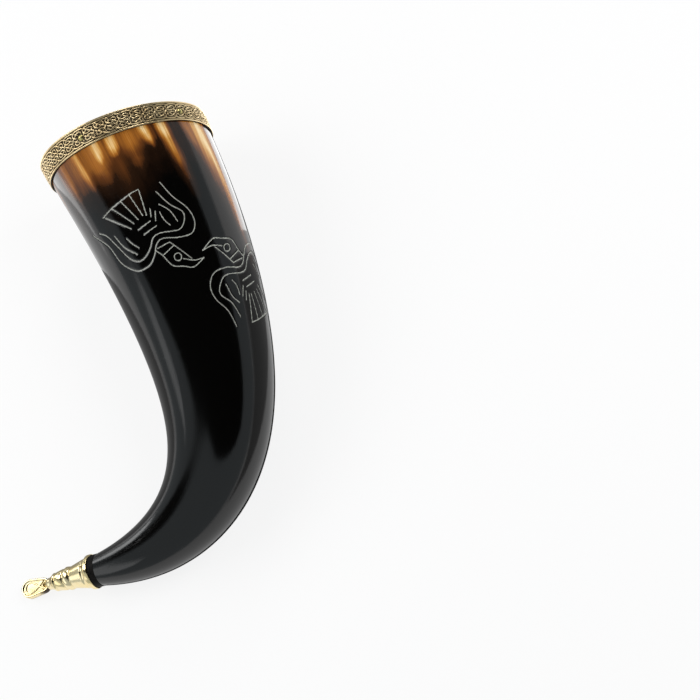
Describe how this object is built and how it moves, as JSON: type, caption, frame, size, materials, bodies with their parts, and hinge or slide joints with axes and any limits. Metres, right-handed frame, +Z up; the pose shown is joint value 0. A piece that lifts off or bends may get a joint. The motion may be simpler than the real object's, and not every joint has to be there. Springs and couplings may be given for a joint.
{
  "type": "drinking horn",
  "caption": "Curved natural drinking horn, hollow from a slanted mouth, with a nailed knotwork rim band and a cast brass tip; holds a drink, lies on its side.",
  "frame": {"origin": "centre of the footprint's box, on the surface that the horn lies on", "axes": "+Z up from that surface, towards the engraved side; +Y the way the mouth opens, seen from above; the tip bends towards -X"},
  "size_m": [0.1723, 0.183, 0.0758],
  "materials": {
    "horn": "polished horn",
    "band_brass": "antique, pressed knotwork",
    "nail_brass": "plain",
    "ferrule_brass": "polished casting",
    "pin_brass": "dull",
    "bedding": "smooth dark pitch"
  },
  "bodies": {
    "root": {"horn_body": "horn", "rim_band": "band_brass", "rim_nails": "nail_brass", "tip_ferrule": "ferrule_brass", "tip_pin": "pin_brass", "tip_bedding": "bedding"}
  },
  "joints": []
}
